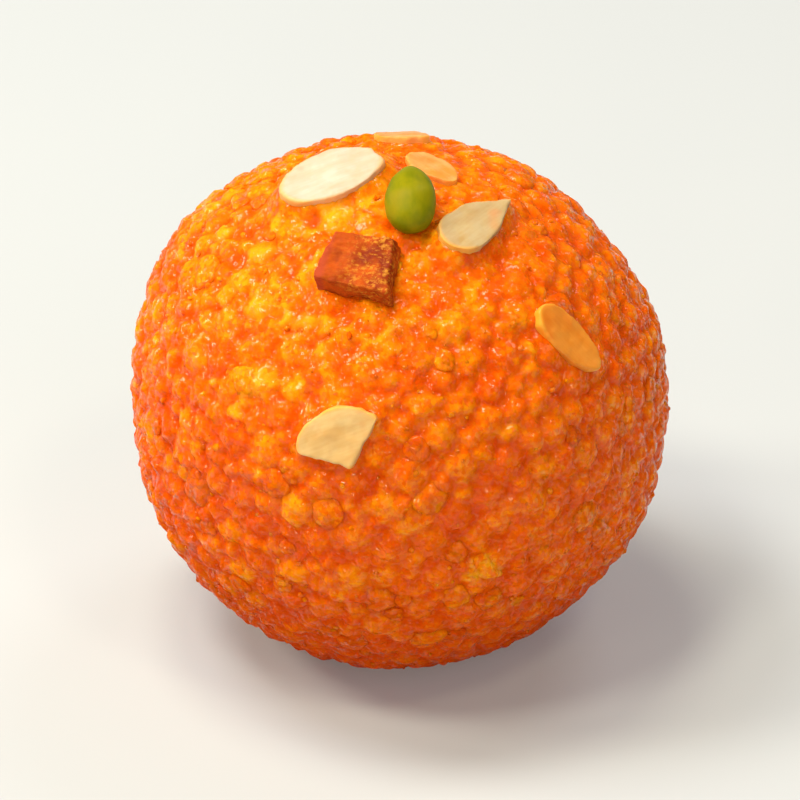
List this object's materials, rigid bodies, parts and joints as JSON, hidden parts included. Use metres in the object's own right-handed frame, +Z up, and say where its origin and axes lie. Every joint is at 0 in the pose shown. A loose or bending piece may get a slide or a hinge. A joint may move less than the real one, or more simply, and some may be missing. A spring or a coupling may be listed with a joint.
{
  "type": "ladoo",
  "caption": "Hand-rolled ball of small pressed boondi in sugar syrup, flat where it rests, garnished on top with almond flakes, pistachio and almond chunk; an Indian sweet.",
  "frame": {"origin": "middle of the flat spot that the ball rests on", "axes": "+Z up out of the garnished top, -Y towards the viewer of the picture, +X to that viewer's right"},
  "size_m": [0.046, 0.0457, 0.0462],
  "materials": {
    "boondi_orange": "moist, glossy with sugar syrup",
    "nut_ivory": "satin, sliced blanched almond",
    "nut_glazed": "glossy, almond under a coat of orange syrup",
    "pistachio_green": "smooth, slightly oily kernel",
    "almond_skin": "satin, almond with its skin"
  },
  "bodies": {
    "root": {"ladoo": "boondi_orange", "flake_top_left": "nut_ivory", "flake_top_right": "nut_ivory", "flake_top_back": "nut_glazed", "flake_top_far": "nut_glazed", "flake_front": "nut_ivory", "flake_right": "nut_glazed", "flake_back_high": "nut_ivory", "flake_back_right": "nut_ivory", "flake_back_left": "nut_glazed", "flake_back_low": "nut_ivory", "pistachio": "pistachio_green", "almond_chunk": "almond_skin"}
  },
  "joints": []
}
